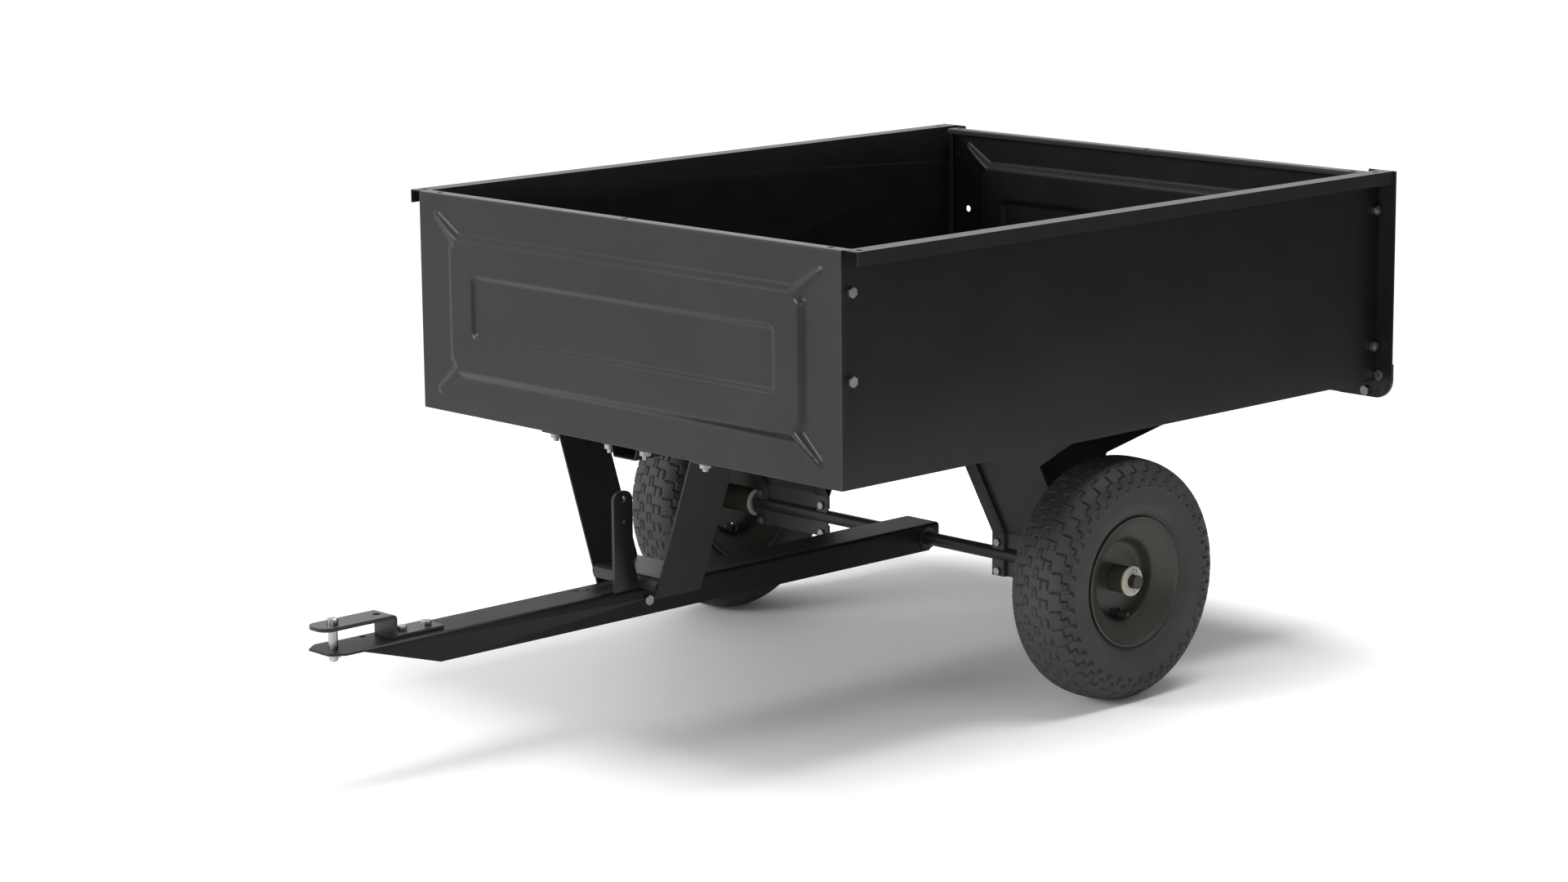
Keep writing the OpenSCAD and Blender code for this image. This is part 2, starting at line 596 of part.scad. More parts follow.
module rear_frame_nuts() color(zinc) from_bed() both_sides() for (p = frame_bolt_xz)
    translate([p[0], bed_len + 2 * frame_t + m8_nut_h, p[1]]) rotate([90, 0, 0])
        hex_nut(m8_r, m8_flats, m8_nut_h);
clamp_front = axle_y - tab_step;
module bracket_bolts() color(zinc) from_bed() both_sides() for (x = clamp_bolt_xs, z = clamp_bolt_zs)
    translate([x, clamp_front, z]) rotate([90, 0, 0])
        hex_bolt(m6_r, m6_flats, m6_head_h, 2 * plate_t + m6_nut_h + 2);
module bracket_nuts() color(zinc) from_bed() both_sides() for (x = clamp_bolt_xs, z = clamp_bolt_zs)
    translate([x, clamp_front + 2 * plate_t + m6_nut_h, z]) rotate([90, 0, 0])
        hex_nut(m6_r, m6_flats, m6_nut_h);

// ---------------------------------------------------------------- tailgate
gate_z = sheet + 0.4;
gate_x = in_x - sheet - 2.2;
module tailgate() color(powder) from_bed() difference() {
    union() {
        pressed_sheet(gate_y, gate_x, gate_z, bed_h - 2);
        translate([0, sheet, 0]) top_fold(gate_y, -1, gate_x - 8, bed_h - 2);
        both_sides() translate([gate_x - sheet, gate_y, gate_z]) cube([sheet, 7, bed_h - 2 - gate_z]);
        translate([-gate_x, gate_y, gate_z]) cube([2 * gate_x, 7, sheet]);
    }
    both_sides() {
        drill_y(380, gate_y - 15, gate_y + 15, 177, 5);
        drill_y(398, gate_y - 15, gate_y + 15, 264, 2);
    }
    for (x = [-fold_hole_x, 0, fold_hole_x]) drill_z(x, gate_y - 11, bed_h - 8, bed_h + 1, fold_hole_r);
}

// ---------------------------------------------------------------- wheels
module wheel_frame(side) from_bed() mirror([side < 0 ? 1 : 0, 0, 0])
    translate([wheel_x, axle_y, -axle_drop]) rotate([0, 90, 0]) children();
// Rounded section of a tyre: a superellipse that is squarer below its middle than above it.
sec_mid = (tyre_r + rim_r) / 2;
function power(v, n) = sign(v) * pow(abs(v), 2 / n);
function section(half_width, rise, steps = 40) = [for (i = [0:steps - 1])
    let (a = 360 * i / steps, n = sin(a) < 0 ? 4 : 2.8)
    [sec_mid + rise * power(sin(a), n), half_width * power(cos(a), n)]];
module tyre() color(rubber) rotate_extrude($fn = 160) difference() {
    polygon(section(tyre_w / 2, tyre_r - sec_mid));
    polygon(section(tyre_w / 2 - 8, tyre_r - sec_mid - 9));
    translate([rim_r - 5, -27]) square([30, 54]);
    for (s = [0, 1]) mirror([0, s]) translate([0, -0.01])
        polygon(concat([[0, 0]], [for (p = rim_path) [p[0] + 0.05, p[1]]], [[0, rim_path[0][1] + 20]]));
}
// One pressed rim half, from the bead edge down the cone to the dish.
rim_path = [[rim_r + 0.5, 40], [rim_r - 1, 37], [54, 14], [51.5, rim_t], [hub_r, rim_t]];
module rim_half() difference() {
    rotate_extrude($fn = 128) strip(rim_path, rim_t);
    translate([valve_r, 0, -5]) cylinder(h = 60, r = valve_slot_r);
}
module rim_outer() color(rim_paint) rim_half();
module rim_inner() color(rim_paint) mirror([0, 0, 1]) rim_half();
module hub() color(rim_paint) difference() {
    translate([0, 0, hub_in]) cylinder(h = hub_out - hub_in, r = hub_r);
    translate([0, 0, hub_in - 1]) cylinder(h = hub_out - hub_in + 2, r = 16);
}
module wheel_bushes() color(nylon) difference() {
    for (end = [[hub_out, 1], [hub_in, -1]]) translate([0, 0, end[0]]) mirror([0, 0, end[1] < 0 ? 1 : 0]) {
        cylinder(h = bush_flange, r = 20.5);
        translate([0, 0, -22]) cylinder(h = 22.01, r = 16);
    }
    translate([0, 0, -100]) cylinder(h = 200, r = bush_bore_r);
}
module valve() color(rubber) translate([valve_r, 0, 0]) {
    translate([0, 0, -4]) cylinder(h = 20, r = 4);
    translate([0, 0, 16]) cylinder(h = 12, r1 = 3.6, r2 = 3);
    translate([0, 0, -4]) cylinder(h = 8, r = valve_slot_r);
}

module right_tyre() wheel_frame(1) tyre();
module right_rim_outer() wheel_frame(1) rim_outer();
module right_rim_inner() wheel_frame(1) rim_inner();
module right_hub() wheel_frame(1) hub();
module right_wheel_bushes() wheel_frame(1) wheel_bushes();
module right_valve() wheel_frame(1) valve();
module left_tyre() wheel_frame(-1) tyre();
module left_rim_outer() wheel_frame(-1) rim_outer();
module left_rim_inner() wheel_frame(-1) rim_inner();
module left_hub() wheel_frame(-1) hub();
module left_wheel_bushes() wheel_frame(-1) wheel_bushes();
module left_valve() wheel_frame(-1) valve();

drawbar();
hitch_strap();
hitch_bolts();
hitch_nuts();
drawbar_bushes();
latch_pivot_bolt();
latch_pivot_nut();
latch_spring();
latch_lever();
hitch_pin();
hairpin_clip();
bed_floor();
floor_stiffener();
front_panel();
left_side_panel();
right_side_panel();
left_gate_channel();
right_gate_channel();
left_rear_upright();
right_rear_upright();
rear_crossbar();
left_strut();
right_strut();
saddle();
left_front_bracket();
left_rear_bracket();
right_front_bracket();
right_rear_bracket();
axle();
axle_washers();
split_pins();
floor_bolts();
floor_nuts();
corner_bolts();
corner_nuts();
channel_screws();
channel_nuts();
rear_frame_bolts();
rear_frame_nuts();
bracket_bolts();
bracket_nuts();
tailgate();
left_tyre();
left_rim_outer();
left_rim_inner();
left_hub();
left_wheel_bushes();
left_valve();
right_tyre();
right_rim_outer();
right_rim_inner();
right_hub();
right_wheel_bushes();
right_valve();
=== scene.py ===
# Looks of the tow behind cart: powder-coated sheet metal, zinc fasteners, moulded tyres.
# Everything is in metres in the part's own frame: +Y from the hitch to the tailgate, +Z up.
import json
import math

import bmesh
import bpy
import numpy as np
from mathutils import Matrix, Vector


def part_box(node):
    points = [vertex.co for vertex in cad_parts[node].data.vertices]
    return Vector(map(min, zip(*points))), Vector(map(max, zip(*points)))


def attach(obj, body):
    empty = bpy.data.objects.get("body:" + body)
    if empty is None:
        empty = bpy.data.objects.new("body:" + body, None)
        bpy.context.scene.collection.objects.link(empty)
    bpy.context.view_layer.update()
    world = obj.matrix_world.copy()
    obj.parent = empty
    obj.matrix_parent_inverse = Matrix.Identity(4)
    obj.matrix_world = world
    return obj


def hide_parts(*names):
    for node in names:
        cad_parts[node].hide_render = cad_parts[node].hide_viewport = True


MM = 0.001
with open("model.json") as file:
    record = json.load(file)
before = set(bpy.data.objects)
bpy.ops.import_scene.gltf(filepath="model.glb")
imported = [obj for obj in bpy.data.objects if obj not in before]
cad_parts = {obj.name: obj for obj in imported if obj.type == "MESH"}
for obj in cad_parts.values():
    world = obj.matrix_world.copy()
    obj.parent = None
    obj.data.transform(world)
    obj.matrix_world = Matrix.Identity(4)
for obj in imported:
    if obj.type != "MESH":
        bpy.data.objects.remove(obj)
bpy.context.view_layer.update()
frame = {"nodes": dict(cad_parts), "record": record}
nodes = frame["nodes"]


# ------------------------------------------------------------------ node helpers
def new_material(name):
    mat = bpy.data.materials.new(name)
    mat.use_nodes = True
    mat.node_tree.nodes.clear()
    out = mat.node_tree.nodes.new("ShaderNodeOutputMaterial")
    bsdf = mat.node_tree.nodes.new("ShaderNodeBsdfPrincipled")
    mat.node_tree.links.new(bsdf.outputs[0], out.inputs[0])
    return mat, mat.node_tree, bsdf


def coords(tree):
    return tree.nodes.new("ShaderNodeTexCoord").outputs["Object"]


def noise(tree, vector, scale, detail=3.0, rough=0.5):
    node = tree.nodes.new("ShaderNodeTexNoise")
    node.inputs["Scale"].default_value = scale
    node.inputs["Detail"].default_value = detail
    node.inputs["Roughness"].default_value = rough
    tree.links.new(vector, node.inputs["Vector"])
    return node.outputs["Fac"]


def ramp(tree, value, stops):
    node = tree.nodes.new("ShaderNodeValToRGB")
    while len(node.color_ramp.elements) < len(stops):
        node.color_ramp.elements.new(0.5)
    for element, (place, colour) in zip(node.color_ramp.elements, stops):
        element.position = place
        element.color = (*colour, 1.0) if isinstance(colour, tuple) else (colour, colour, colour, 1.0)
    tree.links.new(value, node.inputs["Fac"])
    return node.outputs["Color"]


def remap(tree, value, low, high, start=0.0, end=1.0):
    node = tree.nodes.new("ShaderNodeMapRange")
    for key, number in (("From Min", start), ("From Max", end), ("To Min", low), ("To Max", high)):
        node.inputs[key].default_value = number
    tree.links.new(value, node.inputs["Value"])
    return node.outputs["Result"]


def mix_colour(tree, factor, first, second):
    node = tree.nodes.new("ShaderNodeMix")
    node.data_type = "RGBA"
    for key, value in (("Factor", factor), ("A", first), ("B", second)):
        socket = node.inputs[key]
        if isinstance(value, bpy.types.NodeSocket):
            tree.links.new(value, socket)
        elif isinstance(value, tuple):
            socket.default_value = (*value, 1.0)
        else:
            socket.default_value = value
    return node.outputs["Result"]


def bump(tree, height, depth):
    node = tree.nodes.new("ShaderNodeBump")
    node.inputs["Strength"].default_value = 1.0
    node.inputs["Distance"].default_value = depth
    tree.links.new(height, node.inputs["Height"])
    return node.outputs["Normal"]


# ------------------------------------------------------------------ materials
def powder_coat(name, dark, light, roughness, grain=0.00006, gloss=0.32):
    """Satin powder coat: orange peel, cloudy tone with fine specks, and a painted highlight on raised edges.
    """
    mat, tree, bsdf = new_material(name)
    where = coords(tree)
    peel = noise(tree, where, 620.0, 2.0, 0.55)
    cloud = noise(tree, where, 9.0, 4.0, 0.6)
    speck = noise(tree, where, 2300.0, 1.0)
    colour = ramp(tree, cloud, [(0.3, dark), (0.7, light)])
    colour = mix_colour(tree, remap(tree, speck, 0.0, 0.35, 0.45, 0.8), colour, light)
    # Painted highlight: raised edges, found by pointiness, are mixed towards four times the light tone.
    edge_highlight = tree.nodes.new("ShaderNodeNewGeometry").outputs["Pointiness"]
    colour = mix_colour(tree, remap(tree, edge_highlight, 0.0, 0.45, 0.53, 0.6), colour, tuple(4 * c for c in light))
    tree.links.new(colour, bsdf.inputs["Base Color"])
    tree.links.new(remap(tree, cloud, roughness - 0.04, roughness + 0.06), bsdf.inputs["Roughness"])
    tree.links.new(bump(tree, peel, grain), bsdf.inputs["Normal"])
    bsdf.inputs["Specular IOR Level"].default_value = gloss
    return mat


def zinc_plate(name, base, roughness):
    """Zinc plate: blotchy tone and a fine grain."""
    mat, tree, bsdf = new_material(name)
    where = coords(tree)
    blotch = noise(tree, where, 140.0, 4.0, 0.6)
    fine = noise(tree, where, 1800.0, 2.0)
    dull = tuple(0.72 * c for c in base)
    tree.links.new(ramp(tree, blotch, [(0.3, dull), (0.7, base)]), bsdf.inputs["Base Color"])
    tree.links.new(remap(tree, blotch, roughness - 0.08, roughness + 0.12), bsdf.inputs["Roughness"])
    tree.links.new(bump(tree, fine, 0.00003), bsdf.inputs["Normal"])
    bsdf.inputs["Metallic"].default_value = 1.0
    return mat


def moulded(name, dark, light, roughness, scale=420.0, depth=0.00008, specular=0.5):
    """Moulded rubber or nylon: fine matt texture with patchy tone."""
    mat, tree, bsdf = new_material(name)
    where = coords(tree)
    fine = noise(tree, where, scale, 3.0, 0.6)
    patch = noise(tree, where, 18.0, 4.0, 0.6)
    tree.links.new(ramp(tree, patch, [(0.3, dark), (0.7, light)]), bsdf.inputs["Base Color"])
    tree.links.new(remap(tree, fine, roughness - 0.07, roughness + 0.08), bsdf.inputs["Roughness"])
    tree.links.new(bump(tree, fine, depth), bsdf.inputs["Normal"])
    bsdf.inputs["Specular IOR Level"].default_value = specular
    return mat


BLACK = powder_coat("powder_coat", (0.007, 0.007, 0.0072), (0.011, 0.011, 0.0113), 0.32)
RIM = powder_coat("rim_paint", (0.026, 0.026, 0.021), (0.036, 0.036, 0.029), 0.38, 0.00003)
ZINC = zinc_plate("zinc", (0.36, 0.365, 0.375), 0.36)
STEEL = zinc_plate("pin_steel", (0.4, 0.4, 0.41), 0.3)
WIRE = zinc_plate("spring_steel", (0.5, 0.5, 0.5), 0.32)
NYLON = moulded("nylon", (0.37, 0.35, 0.29), (0.46, 0.44, 0.38), 0.5, 700.0, 0.00003)
TYRE = moulded("tyre_rubber", (0.024, 0.024, 0.024), (0.034, 0.034, 0.034), 0.66, 520.0, 0.00007, 0.4)
VALVE = moulded("valve_rubber", (0.012, 0.012, 0.012), (0.02, 0.02, 0.02), 0.6)
# The cart has one black paint. The first copy below is darker and less glossy: painted shade, for the side
# panels and tailgate. The drawbar's copy keeps the colour and only reflects less. Both only match the tones
# of these parts better.
SHADED_BLACK = powder_coat("powder_coat_painted_shade", (0.0045, 0.0045, 0.0046), (0.0075, 0.0075, 0.0077), 0.34,
                         gloss=0.22)
BAR_BLACK = powder_coat("powder_coat_bar", (0.007, 0.007, 0.0071), (0.011, 0.011, 0.0112), 0.44,
                        gloss=0.16)
# Black, so that the drawbar's bush flanges, which are a guess, stay quiet. The record calls them off-white.
BLACK_NYLON = moulded("nylon_black", (0.012, 0.012, 0.012), (0.018, 0.018, 0.018), 0.5, 700.0, 0.00003)
OWN_FINISH = {"left_side_panel": SHADED_BLACK, "right_side_panel": SHADED_BLACK, "tailgate": SHADED_BLACK,
              "drawbar": BAR_BLACK, "drawbar_bushes": BLACK_NYLON}
FINISH = {"powder_coat": BLACK, "rim_paint": RIM, "zinc": ZINC, "pin_steel": STEEL, "spring_steel": WIRE,
          "nylon": NYLON, "tyre_rubber": TYRE, "valve_rubber": VALVE}
SLOT_OF = {entry["node"]: entry["material_slot"] for entry in frame["record"]["subparts"]}


# ------------------------------------------------------------------ CAD nodes keep their shape
EDGE_RADIUS = {"powder_coat": 0.0005, "rim_paint": 0.0006, "zinc": 0.00045, "pin_steel": 0.0004,
               "spring_steel": 0.0002, "nylon": 0.0005, "tyre_rubber": 0.001, "valve_rubber": 0.0004}
THICK_NODES = ("drawbar", "hitch_strap", "latch_lever")
for name, obj in nodes.items():
    obj.data.materials.clear()
    obj.data.materials.append(OWN_FINISH.get(name, FINISH[SLOT_OF[name]]))
    weld = obj.modifiers.new("weld", "WELD")
    weld.merge_threshold = 0.00001
    flatten = obj.modifiers.new("flatten", "DECIMATE")
    flatten.decimate_type = "DISSOLVE"
    flatten.angle_limit = math.radians(0.5)
    soften = obj.modifiers.new("soften", "BEVEL")
    soften.width = 0.001 if name in THICK_NODES else EDGE_RADIUS[SLOT_OF[name]]
    soften.segments = 2
    soften.limit_method = "ANGLE"
    soften.angle_limit = math.radians(30)
    soften.use_clamp_overlap = True
    even_out = obj.modifiers.new("even_out", "WEIGHTED_NORMAL")
    even_out.keep_sharp = True
    even_out.weight = 100


# ------------------------------------------------------------------ mesh helpers
def mesh_object(name, verts, faces, material, smooth_angle=40.0):
    mesh = bpy.data.meshes.new(name)
    mesh.from_pydata([tuple(v) for v in verts], [], faces)
    mesh.validate()
    obj = bpy.data.objects.new(name, mesh)
    bpy.context.scene.collection.objects.link(obj)
    mesh.materials.append(material)
    tidy = bmesh.new()
    tidy.from_mesh(mesh)
    bmesh.ops.remove_doubles(tidy, verts=tidy.verts, dist=1e-6)
    bmesh.ops.recalc_face_normals(tidy, faces=tidy.faces)
    tidy.to_mesh(mesh)
    tidy.free()
    for polygon in mesh.polygons:
        polygon.use_smooth = True
    mesh.set_sharp_from_angle(angle=math.radians(smooth_angle))
    return obj


def grid_faces(rows, cols, wrap_rows=False, wrap_cols=False, start=0):
    index = start + np.arange(rows * cols).reshape(rows, cols)
    if wrap_rows:
        index = np.vstack([index, index[:1]])
    if wrap_cols:
        index = np.hstack([index, index[:, :1]])
    quads = np.stack([index[:-1, :-1], index[1:, :-1], index[1:, 1:], index[:-1, 1:]], -1)
    return quads.reshape(-1, 4).tolist()


def apply_modifiers(obj):
    graph = bpy.context.evaluated_depsgraph_get()
    baked = bpy.data.meshes.new_from_object(obj.evaluated_get(graph))
    obj.modifiers.clear()
    obj.data = baked
    return obj


def cut_hole(obj, centre, axis, radius, length, stretch=0.0):
    """Cut one round or slotted hole through obj, along axis."""
    side = 40
    tool = bmesh.new()
    ends = []
    for z in (-length / 2, length / 2):
        ring = []
        for i in range(side):
            turn = 2 * math.pi * (i + 0.5) / side
            shift = math.copysign(stretch / 2, math.sin(turn))
            ring.append(tool.verts.new((radius * math.cos(turn), radius * math.sin(turn) + shift, z)))
        ends.append(ring)
    tool.faces.new(ends[0][::-1])
    tool.faces.new(ends[1])
    for i in range(side):
        j = (i + 1) % side
        tool.faces.new((ends[0][i], ends[0][j], ends[1][j], ends[1][i]))
    mesh = bpy.data.meshes.new("cutter")
    tool.to_mesh(mesh)
    tool.free()
    cutter = bpy.data.objects.new("cutter", mesh)
    bpy.context.scene.collection.objects.link(cutter)
    turn = Vector((0, 0, 1)).rotation_difference(Vector(axis)).to_matrix().to_4x4()
    cutter.matrix_world = Matrix.Translation(Vector(centre)) @ turn
    bpy.context.view_layer.update()
    cut = obj.modifiers.new("hole", "BOOLEAN")
    cut.operation = "DIFFERENCE"
    cut.solver = "EXACT"
    cut.object = cutter
    apply_modifiers(obj)
    bpy.data.objects.remove(cutter)
    bpy.data.meshes.remove(mesh)


def fit_piece(piece, body, slot, *replaced):
    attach(piece, body)
    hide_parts(*replaced)
    return piece


# ------------------------------------------------------------------ driving sizes, from the frame
floor_low, floor_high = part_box("bed_floor")
front_low, front_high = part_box("front_panel")
side_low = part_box("right_side_panel")[0]
gate_low, gate_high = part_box("tailgate")
SHEET = floor_high.z - floor_low.z
BED_Y = floor_low.y - SHEET
BED_Z = front_low.z
EMBOSS = BED_Y - front_low.y
HALF_W = front_high.x


# ------------------------------------------------------------------ pressed end panels
def smooth_step(t):
    t = np.clip(t, 0.0, 1.0)
    return t * t * t * (t * (6 * t - 15) + 10)


def inside_polygon_distance(x, z, corners):
    """Distance inside a convex polygon given anticlockwise, negative outside."""
    nearest = np.full(x.shape, 1e9)
    for (x0, z0), (x1, z1) in zip(corners, corners[1:] + corners[:1]):
        length = math.hypot(x1 - x0, z1 - z0)
        nearest = np.minimum(nearest, ((x1 - x0) * (z - z0) - (z1 - z0) * (x - x0)) / length)
    return nearest


def arm_distance(x, z, root, tip, root_r, tip_r):
    """Distance inside a tapered bar with round ends, negative outside."""
    dx, dz = tip[0] - root[0], tip[1] - root[1]
    along = np.clip(((x - root[0]) * dx + (z - root[1]) * dz) / (dx * dx + dz * dz), 0.0, 1.0)
    return root_r + (tip_r - root_r) * along - np.hypot(x - root[0] - along * dx, z - root[1] - along * dz)


def rounded_box_distance(x, z, half_x, half_z, radius):
    qx = np.abs(x) - (half_x - radius)
    qz = np.abs(z) - (half_z - radius)
    outside = np.hypot(np.maximum(qx, 0), np.maximum(qz, 0)) + np.minimum(np.maximum(qx, qz), 0)
    return radius - outside


def soft_max(a, b, width):
    blend = np.clip(0.5 + 0.5 * (a - b) / width, 0.0, 1.0)
    return b + (a - b) * blend + width * blend * (1 - blend) * 0.5


# The pressing, in millimetres from the panel's middle and bottom edge.
FIELD = [(335, 50), (358, 75), (358, 236), (335, 256), (-335, 256), (-358, 236), (-358, 75), (-335, 50)]
ARMS = [((333, 240), (380, 275.5)), ((333, 66), (380, 31))]
SLOPE = 14.0
RECESS_MID = 155.0
RECESS_HALF = (304.0, 45.5)
RECESS_SLOPE = 8.0
RECESS_SHARE = 0.62
GRID = 2.5 * MM
BEND = 2.5 * MM
FOLD_REACH = 22 * MM
FOLD_LIP = 7 * MM


def pressing(x, z):
    """Height of the pressed field, 0 to 1, at x and z in millimetres."""
    field = inside_polygon_distance(x, z, FIELD)
    for root, tip in ARMS:
        for side in (-1, 1):
            arm = arm_distance(x, z, (side * root[0], root[1]), (side * tip[0], tip[1]), 15.0, 8.5)
            field = soft_max(field, arm, 5.0)
    recess = rounded_box_distance(x, z - RECESS_MID, *RECESS_HALF, 12.0)
    return smooth_step(field / SLOPE) - RECESS_SHARE * smooth_step(recess / RECESS_SLOPE)


def pressed_panel(name, coat, half_x, y_outer, z_low, z_top, fold_way, fold_half, bends=5):
    """A pressed sheet, its field raised towards -Y, with a stiffening fold along its top edge.

    y_outer is the face that the fold's outside starts from, and fold_way is the way it turns."""
    cols = int(2 * half_x / GRID) | 1
    xs = np.linspace(-half_x, half_x, cols)
    turns = np.linspace(0.0, math.pi / 2, bends)
    outline = [(FOLD_REACH, -FOLD_LIP)]
    outline += [(FOLD_REACH - BEND + BEND * math.cos(a), -BEND + BEND * math.sin(a)) for a in turns]
    outline += [(BEND - BEND * math.sin(a), -BEND + BEND * math.cos(a)) for a in turns]
    rows = []
    for y, z in outline:
        squeeze = fold_half / half_x if y > BEND / 2 else 1.0
        flat_y, flat_z = np.full(cols, y_outer + fold_way * y), np.full(cols, z_top + z)
        rows.append(np.stack([xs * squeeze, flat_y, flat_z], -1))
    for z in np.linspace(z_top - BEND - GRID, z_low, int((z_top - z_low) / GRID)):
        height = pressing(xs / MM, np.full(cols, (z - BED_Z) / MM))
        rows.append(np.stack([xs, y_outer - EMBOSS * height, np.full(cols, z)], -1))
    outer = np.array(rows)
    normal = np.cross(np.gradient(outer, axis=0), np.gradient(outer, axis=1))
    normal /= np.linalg.norm(normal, axis=-1, keepdims=True)
    normal *= fold_way * math.copysign(1.0, normal[-1, cols // 2, 1])
    inner = outer + normal * SHEET
    verts = np.concatenate([outer.reshape(-1, 3), inner.reshape(-1, 3)])
    count = len(rows) * cols
    faces = grid_faces(len(rows), cols) + grid_faces(len(rows), cols, start=count)
    edge = list(range(cols)) + [r * cols + cols - 1 for r in range(1, len(rows))]
    edge += [(len(rows) - 1) * cols + c for c in range(cols - 2, -1, -1)]
    edge += [r * cols for r in range(len(rows) - 2, 0, -1)]
    faces += [(a, b, b + count, a + count) for a, b in zip(edge, edge[1:] + edge[:1])]
    return mesh_object(name, verts, faces, coat)


def plates(name, coat, boxes, radius=0.4 * MM):
    """Flat plates with eased edges, as one object."""
    build = bmesh.new()
    for low, high in boxes:
        made = bmesh.ops.create_cube(build, size=1.0)["verts"]
        for vert in made:
            vert.co = [low[i] + (high[i] - low[i]) * (vert.co[i] + 0.5) for i in range(3)]
    bmesh.ops.bevel(build, geom=build.edges[:], offset=radius, segments=2, affect="EDGES", profile=0.5)
    mesh = bpy.data.meshes.new(name)
    build.to_mesh(mesh)
    build.free()
    obj = bpy.data.objects.new(name, mesh)
    bpy.context.scene.collection.objects.link(obj)
    mesh.materials.append(coat)
    for polygon in mesh.polygons:
        polygon.use_smooth = True
    mesh.set_sharp_from_angle(angle=math.radians(60))
    return obj


FLANGE = 26 * MM
HOLE_R = 4.5 * MM
FOLD_HOLES = (-388 * MM, 0.0, 388 * MM)

FRONT_FOLD_HALF = HALF_W - 1.7 * MM
front = pressed_panel("front_panel_pressing", BLACK, HALF_W, BED_Y, BED_Z, front_high.z, 1, FRONT_FOLD_HALF)
for hole_x in FOLD_HOLES:
    cut_hole(front, (hole_x, BED_Y + 13 * MM, front_high.z), (0, 0, 1), HOLE_R, 0.01)
fit_piece(front, "bed", "powder_coat", "front_panel")
inner_x = side_low.x
flange_back = BED_Y + FLANGE + SHEET
flange_top = front_high.z - 8 * MM
fit_piece(plates("front_panel_flanges", BLACK, [
    ((-388 * MM, BED_Y + SHEET, BED_Z + SHEET), (388 * MM, BED_Y + FLANGE, BED_Z + 2 * SHEET)),
    ((inner_x - SHEET, BED_Y + SHEET, BED_Z + 6 * MM), (inner_x, flange_back, flange_top)),
    ((-inner_x, BED_Y + SHEET, BED_Z + 6 * MM), (SHEET - inner_x, flange_back, flange_top)),
]), "bed", "powder_coat", "front_panel")

GATE_X = gate_high.x
GATE_FACE = gate_high.y - 7 * MM
# Painted shade: the tailgate pressing takes the darker copy of the black paint.
gate = pressed_panel("tailgate_pressing", SHADED_BLACK, GATE_X, GATE_FACE + SHEET, gate_low.z, gate_high.z, -1,
                     GATE_X - 8 * MM)
for hole_x in FOLD_HOLES:
    cut_hole(gate, (hole_x, GATE_FACE - 11 * MM, gate_high.z), (0, 0, 1), HOLE_R, 0.01)
for hole_x, hole_z, hole_r in ((380, 177, 5.0), (398, 264, 2.0)):
    for way in (-1, 1):
        cut_hole(gate, (way * hole_x * MM, GATE_FACE, BED_Z + hole_z * MM), (0, 1, 0), hole_r * MM, 0.02)
fit_piece(gate, "tailgate", "powder_coat", "tailgate")
# Its flanges take the same painted shade.
fit_piece(plates("tailgate_flanges", SHADED_BLACK, [
    ((GATE_X - SHEET, GATE_FACE + SHEET, gate_low.z), (GATE_X, gate_high.y, gate_high.z - 2 * SHEET)),
    ((-GATE_X, GATE_FACE + SHEET, gate_low.z), (SHEET - GATE_X, gate_high.y, gate_high.z - 2 * SHEET)),
    ((-GATE_X, GATE_FACE + SHEET, gate_low.z), (GATE_X, gate_high.y, gate_low.z + SHEET)),
]), "tailgate", "powder_coat", "tailgate")

# ------------------------------------------------------------------ tyres
PITCHES = 38
PER_PITCH = 24
GROOVE = 3.2
# The bead's last points: radius over the rim's bead seat, and distance from the wheel's middle.
BEAD_RADII = (-2.5, -0.5, 1.4, 3.2)
BEAD_ACROSS = (33.0, 36.5, 38.6, 39.8)


def stroke(u, v, u0, v0, u1, v1, half):
    """1 inside a straight groove from (u0, v0) to (u1, v1), in mm, with a soft edge."""
    du, dv = u1 - u0, v1 - v0
    along = np.clip(((u - u0) * du + (v - v0) * dv) / (du * du + dv * dv), 0.0, 1.0)
    away = np.hypot(u - u0 - along * du, v - v0 - along * dv)
    return np.clip((half - away) / 0.9 + 0.5, 0.0, 1.0)


# Grooves of one pitch in mm: across from the crown's centre, then around the wheel, as (u0, v0, u1, v1).
CENTRE_GROOVES = [(4.5, 1.0, 4.5, 4.5), (4.5, 6.5, 4.5, 9.5), (4.5, 11.5, 4.5, 13.0),
                  (11.0, 0.0, 11.0, 12.5), (4.5, 0.0, 11.0, 0.0), (11.0, 12.8, 18.0, 13.8)]
MIDDLE_GROOVES = [(18.0, 13.8, 18.0, 18.5), (18.0, 20.5, 18.0, 22.5), (18.0, 24.5, 18.0, 26.5),
                  (18.0, 13.8, 28.0, 14.8), (28.0, 14.8, 29.6, 17.6), (29.6, 17.6, 27.8, 20.6),
                  (27.8, 20.6, 29.8, 23.6), (29.8, 23.6, 28.2, 26.5)]
# The shoulder's blocks: an axial edge with a turned-down end, in three rows that get smaller outwards.
SHOULDER_GROOVES = [(34.0, 2.0, 48.0, 2.0), (48.0, 2.0, 48.0, 14.0), (51.5, 15.0, 60.0, 15.0),
                    (60.0, 15.0, 60.0, 23.0), (63.0, 2.5, 69.0, 2.5), (69.0, 2.5, 69.0, 8.0)]
TREAD_EDGE = 73.0
GROOVE_HALF_WIDTHS = (1.05, 1.15, 1.4)
SIDEWALL_DROP = 1.2
BLOCK_STEP = 1.2
STEP_START = 49.0


